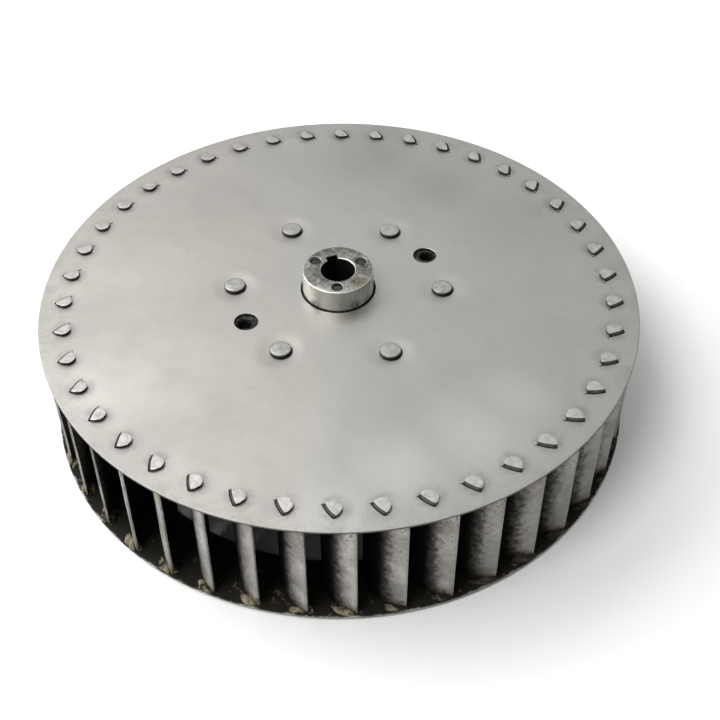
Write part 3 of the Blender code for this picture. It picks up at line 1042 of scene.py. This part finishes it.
def makeRivets():
    spec = rivetShape
    wide, narrow = spec["footRadius"], spec["shankRadius"]
    upper, lower = -spec["sink"], -spec["length"] - 0.0001
    shank = [(wide, upper), (narrow, upper), (narrow, lower), (wide, lower)]
    foot = [(radius, -spec["length"] - height) for radius, height in reversed(spec["head"])]
    first = turnPiece("rivet", spec["head"] + shank + foot, spec["steps"], closed=False)
    pieces = [first] + [copied(first) for _ in range(1, wheel["rivetCount"])]
    rng = random.Random(5)
    for i, (piece, spot) in enumerate(zip(pieces, rivetSpots(wheel["dishTop"]))):
        # struck heads are never quite flat or round
        tiltX, tiltY = [rng.uniform(-spec["tilt"], spec["tilt"]) for _ in "xy"]
        turn = rng.uniform(0, tau)
        named(piece, f"rivetHead{i + 1}")
        for vert in piece.data.vertices:
            if vert.co.z > 0.0003:
                wave = 1 + spec["waviness"] * sin(3 * atan2(vert.co.y, vert.co.x) + turn)
                vert.co.x, vert.co.y = vert.co.x / max(wave, 1), vert.co.y / max(wave, 1)
                vert.co.z += min(vert.co.x * tiltX + vert.co.y * tiltY, 0.0)
        piece.data.transform(Matrix.Translation(spot))
        finishPiece(piece, rivetSteel, f"rivet_{i + 1}", sharpAngle=40)


makeRivets()
print("rivets made")


# ---- blades: curved sheet with a bent tab at each end
bladeShape = {
    "steps": 22,
    "cuts": 7,
    "fit": 0.0003,
    "bendRadius": 0.00125,  # of the sheet's middle
    "bendTurns": (0, 12, 78, 90),  # degrees: the bend is nearly one facet
    "tongueRows": 5,
    "edgeRound": 0.0003,
    "burr": 0.0008,  # raised nib at the inner end of each upper tab
    "burrPlace": (0.001, 0.0007, 0.0002),  # past the tab's end, outside its middle, above the plate
    "burrFlatness": 0.7,
    "lift": (0.02, 0.07),  # slope of the upper tongues
    "unevenness": 0.0002,
    "waves": (70, 3),  # radians per metre of height, and per radian of the curve
    "waveZone": (0.006, 0.086),  # heights where the sheet starts and stops being uneven
    "waveFade": 0.02,
}


def bladeArc(bottom, top):
    # one upright edge of a plane, at the blade's inner end, spun along the curve
    spec = bladeShape
    blade = addMesh("plane", "blade", size=top - bottom)
    spot = curveCentre + bladeCurve["radius"] * heading(tipAngle - bladeCurve["sweep"])
    place = Matrix.Translation((*spot.xy, (bottom + top) / 2))
    blade.matrix_world = place @ Matrix.Rotation(pi / 2, 4, "X")
    settle(blade)
    beginEdit(blade)
    bpy.ops.mesh.select_all(action="DESELECT")
    bm = bmesh.from_edit_mesh(blade.data)
    for vert in bm.verts:
        vert.select = vert.co.x > spot.x
    bm.select_flush_mode()
    bpy.ops.mesh.delete(type="VERT")
    selectAll()
    bpy.ops.transform.translate(value=((top - bottom) / 2, 0, 0))
    bpy.ops.mesh.subdivide(number_cuts=spec["cuts"])
    selectAll()
    bpy.ops.mesh.spin(steps=spec["steps"], angle=-bladeCurve["sweep"], center=curveCentre, axis=(0, 0, 1))
    return blade


def pickTabEdges(blade, height):
    # the edges of the blade's end that the tab grows from
    bm = bmesh.from_edit_mesh(blade.data)
    bpy.ops.mesh.select_all(action="DESELECT")
    for edge in bm.edges:
        offset = (edge.verts[0].co + edge.verts[1].co) / 2 - curveCentre
        turn = (atan2(offset.y, offset.x) - tabAngle + pi) % tau - pi
        level = all(abs(vert.co.z - height) < 1e-5 for vert in edge.verts)
        edge.select = level and abs(turn) < bladeCurve["tabSweep"] / 2
    bm.select_flush(True)


def pushOut(x, y, z):
    bpy.ops.mesh.extrude_edges_move()
    bpy.ops.transform.translate(value=(x, y, z))


def growTongue(blade):
    # the flat part, row by row, to a half-round end
    outward = heading(tabAngle)
    along = Vector((-outward.y, outward.x, 0))
    halfSweep, bend = bladeCurve["tabSweep"] / 2, bladeShape["bendRadius"]
    halfWidth = bladeCurve["radius"] * sin(halfSweep)
    straight = bladeCurve["tabReach"] - wheel["sheet"] / 2 - bend - halfWidth
    bm = bmesh.from_edit_mesh(blade.data)
    foot = {}
    for vert in (v for v in bm.verts if v.select):
        foot[round((vert.co - curveCentre).dot(along), 6)] = vert.co.copy()
    rows = bladeShape["tongueRows"]
    for i in range(1, rows + 1):
        bpy.ops.mesh.extrude_edges_move()
        bm = bmesh.from_edit_mesh(blade.data)
        for vert in (v for v in bm.verts if v.select):
            across = (vert.co - curveCentre).dot(along)
            base = foot[min(foot, key=lambda key: abs(key - across))]
            sag = (base - curveCentre).dot(outward) - bladeCurve["radius"] * cos(halfSweep) + bend
            reach = straight + sag + sqrt(halfWidth**2 - min(abs(across), halfWidth) ** 2)
            vert.co = base - outward * reach * (i / rows)
    bmesh.update_edit_mesh(blade.data)


def growTab(blade, side, edgeHeight, sheetFace, gap):
    # a neck through the slot, a right-angle bend and a tongue; side is 1 for up and -1 for down
    inward, bend = -heading(tabAngle), bladeShape["bendRadius"]
    pickTabEdges(blade, edgeHeight)
    flat = sheetFace + side * (gap + wheel["sheet"] / 2)
    pushOut(0, 0, flat - side * bend - edgeHeight)
    turns = [radians(turn) for turn in bladeShape["bendTurns"]]
    for low, high in zip(turns, turns[1:]):
        step = inward * bend * (cos(low) - cos(high))
        pushOut(step.x, step.y, side * bend * (sin(high) - sin(low)))
    growTongue(blade)


def makeFirstBlade():
    spec = bladeShape
    ringTop = wheel["ringBottom"] + wheel["sheet"]
    plateUnder = wheel["plateTop"] - wheel["sheet"]
    bottom, top = ringTop + spec["fit"], plateUnder - spec["fit"]
    blade = bladeArc(bottom, top)
    growTab(blade, 1, top, wheel["plateTop"], spec["fit"] / 2)
    growTab(blade, -1, bottom, wheel["ringBottom"], spec["fit"])
    tidyFaces()
    endEdit()
    applyModifier(blade, "SOLIDIFY", thickness=wheel["sheet"], offset=0.0, use_even_offset=True)
    bevel = {"width": spec["edgeRound"], "segments": 2, "limit_method": "ANGLE", "angle_limit": radians(60)}
    applyModifier(blade, "BEVEL", **bevel)
    past, outside, above = spec["burrPlace"]
    angle = tabAngle - bladeCurve["tabSweep"] / 2 - past / bladeCurve["radius"]
    nib = curveCentre + (bladeCurve["radius"] + outside) * heading(angle)
    burr = addMesh("uv_sphere", "burr", segments=12, ring_count=8, radius=spec["burr"])
    burr.location = (*nib.xy, wheel["plateTop"] + above)
    burr.scale.z = spec["burrFlatness"]
    settle(burr)
    return joined(blade, burr)


def shapeBlade(blade, rng):
    # every blade is bent a little differently, and its upper tongue stands off a little
    spec = bladeShape
    outward = heading(tabAngle)
    lift = rng.uniform(*spec["lift"])
    phase, size = rng.uniform(0, tau), rng.uniform(0.3, 1) * spec["unevenness"]
    bendLine = bladeCurve["radius"] * cos(bladeCurve["tabSweep"] / 2) - spec["bendRadius"]
    low, high = spec["waveZone"]
    upWaves, alongWaves = spec["waves"]
    for vert in blade.data.vertices:
        reach = bendLine - (vert.co - curveCentre).dot(outward)
        if vert.co.z > wheel["plateTop"] and reach > 0:
            vert.co.z += reach * lift
        inside = min(vert.co.z - low, high - vert.co.z)
        if inside > 0:
            share = min(inside / spec["waveFade"], 1)
            offset = vert.co - curveCentre
            turn = atan2(offset.y, offset.x)
            wave = sin(vert.co.z * upWaves + phase) + 0.6 * sin(turn * alongWaves + phase)
            vert.co += heading(turn) * size * share * wave


def makeBlades():
    first = makeFirstBlade()
    rng = random.Random(11)
    for i in range(wheel["bladeCount"]):
        blade = named(copied(first), f"blade{i + 1:02d}")
        shapeBlade(blade, rng)
        blade.data.transform(Matrix.Rotation(tau * i / wheel["bladeCount"], 4, "Z"))
        finishPiece(blade, bladeSteel, f"blade_{i + 1:02d}", sharpAngle=35)
    bpy.data.objects.remove(first, do_unlink=True)


makeBlades()
print("blades made")


# ---- dirt packed against the blade feet, on the ring
footDirt = {
    "angle": (6, 17),  # degrees back along the blade from its tip
    "offset": 0.0021,  # from the middle of the sheet
    "sides": (1, 1, 1.6, -1),  # one lump each: 1 is outside the blade's curve, -1 inside
    "reach": 0.2092,  # no dirt stands past this radius
    "halfLength": (0.0045, 0.0095),
    "halfWidth": (0.0018, 0.0036),
    "height": (0.0014, 0.004),
    "unevenness": 0.0008,
}


def makeFootDirt():
    spec = footDirt
    rng = random.Random(23)
    ringTop = wheel["ringBottom"] + wheel["sheet"]
    lumps = None
    for i in range(wheel["bladeCount"]):
        for side in spec["sides"]:
            lump = addMesh("ico_sphere", "lump", subdivisions=2, radius=1)
            angle = tipAngle - radians(rng.uniform(*spec["angle"]))
            size = [rng.uniform(*spec[key]) for key in ("halfWidth", "halfLength", "height")]
            spot = curveCentre + heading(angle) * (bladeCurve["radius"] + side * spec["offset"])
            turned = Matrix.Rotation(tau * i / wheel["bladeCount"], 4, "Z")
            place = Matrix.Translation((spot.x, spot.y, ringTop)) @ Matrix.Rotation(angle, 4, "Z")
            lump.matrix_world = turned @ place @ Matrix.Diagonal((*size, 1))
            settle(lump)
            beginEdit(lump)
            selectAll()
            seed = rng.randrange(999)
            bpy.ops.transform.vertex_random(offset=spec["unevenness"], uniform=0.4, normal=0.2, seed=seed)
            endEdit()
            lumps = lump if lumps is None else joined(lumps, lump)
    for vert in lumps.data.vertices:
        vert.co.z = max(vert.co.z, ringTop - 0.0002)
        shrink = max(hypot(vert.co.x, vert.co.y) / spec["reach"], 1)
        vert.co.x, vert.co.y = vert.co.x / shrink, vert.co.y / shrink
    named(lumps, "footDirt")
    dress(lumps, dirtCrust)
    bpy.ops.object.shade_smooth()


def makeSlotGrime():
    # old grime fills the slots round the tabs
    low = wheel["plateTop"] - wheel["sheet"] + 0.0003
    grime = named(joined(*slotBars(low, low + 0.0006)), "slotGrime")
    dress(grime, grimeFill)


makeFootDirt()
makeSlotGrime()
print("dirt made")


# ---- floor, light and camera
studio = {
    "floorSize": 14,
    "floorColour": (0.97, 0.97, 0.965),
    "worldColour": (1.0, 1.0, 1.0),
    "worldStrength": 0.2,
    "aim": (0, 0, 0.09),  # of every light
    # name: place, size, watts
    "lights": {
        "softboxTop": ((0, 0, 2.2), 4.0, 14),
        "softboxBackLeft": ((-1.0, 0.9, 1.8), 1.4, 9),
        "softboxLeft": ((-2.4, 0.3, 1.6), 2.4, 41),
        "softboxFrontLeft": ((-1.0, -1.0, 2.2), 1.2, 24),
        "softboxBack": ((0, 2.4, 1.5), 3.0, 10),
        "softboxRight": ((2.0, 1.4, 1.4), 2.4, 5.4),
    },
}


def makeStudio():
    floor = addMesh("plane", "floor", size=studio["floorSize"])
    material, shader = startMaterial("paleFloor", 0.0, 0.85)
    shader.inputs["Base Color"].default_value = (*studio["floorColour"], 1)
    floor.data.materials.append(material)
    world = bpy.data.worlds.new("studioWorld")
    bpy.context.scene.world = world
    world.use_nodes = True
    background = world.node_tree.nodes["Background"]
    background.inputs["Color"].default_value = (*studio["worldColour"], 1)
    background.inputs["Strength"].default_value = studio["worldStrength"]
    for name, (place, size, watts) in studio["lights"].items():
        bpy.ops.object.light_add(type="AREA", location=place)
        light = bpy.context.active_object
        light.name = light.data.name = name
        light.data.shape = "DISK"
        light.data.size = size
        light.data.energy = watts
        toWheel = Vector(studio["aim"]) - Vector(place)
        light.rotation_euler = toWheel.to_track_quat("-Z", "Y").to_euler()
    bpy.context.scene.view_settings.view_transform = "Standard"
    bpy.context.scene.view_settings.look = "Medium High Contrast"


makeStudio()

photoView = {
    "elevation": radians(41.886),
    "roll": radians(1.034),
    "distance": 0.81587,
    "aim": (0, 0, 0.0908),
    "focalPixels": 1147.873,
    "centrePixel": (338.2, 288.91),
    "imageSize": 720,
    "sensor": 36,
}


def makeCamera():
    shot = photoView
    elevation, roll = shot["elevation"], shot["roll"]
    forward = Vector((0, cos(elevation), -sin(elevation)))
    right, up = Vector((1, 0, 0)), Vector((0, sin(elevation), cos(elevation)))
    rolledRight = right * cos(roll) - up * sin(roll)
    rolledUp = right * sin(roll) + up * cos(roll)
    place = Vector(shot["aim"]) - forward * shot["distance"]
    bpy.ops.object.camera_add()
    camera = bpy.context.active_object
    camera.name = "photoCamera"
    turned = Matrix((rolledRight, rolledUp, -forward)).transposed().to_4x4()
    camera.matrix_world = Matrix.Translation(place) @ turned
    camera.data.sensor_width = shot["sensor"]
    camera.data.lens = shot["focalPixels"] / shot["imageSize"] * shot["sensor"]
    camera.data.shift_x = (shot["imageSize"] / 2 - shot["centrePixel"][0]) / shot["imageSize"]
    camera.data.shift_y = (shot["centrePixel"][1] - shot["imageSize"] / 2) / shot["imageSize"]
    camera.data.clip_start = 0.01
    bpy.context.scene.camera = camera


makeCamera()
print("studio and camera made")
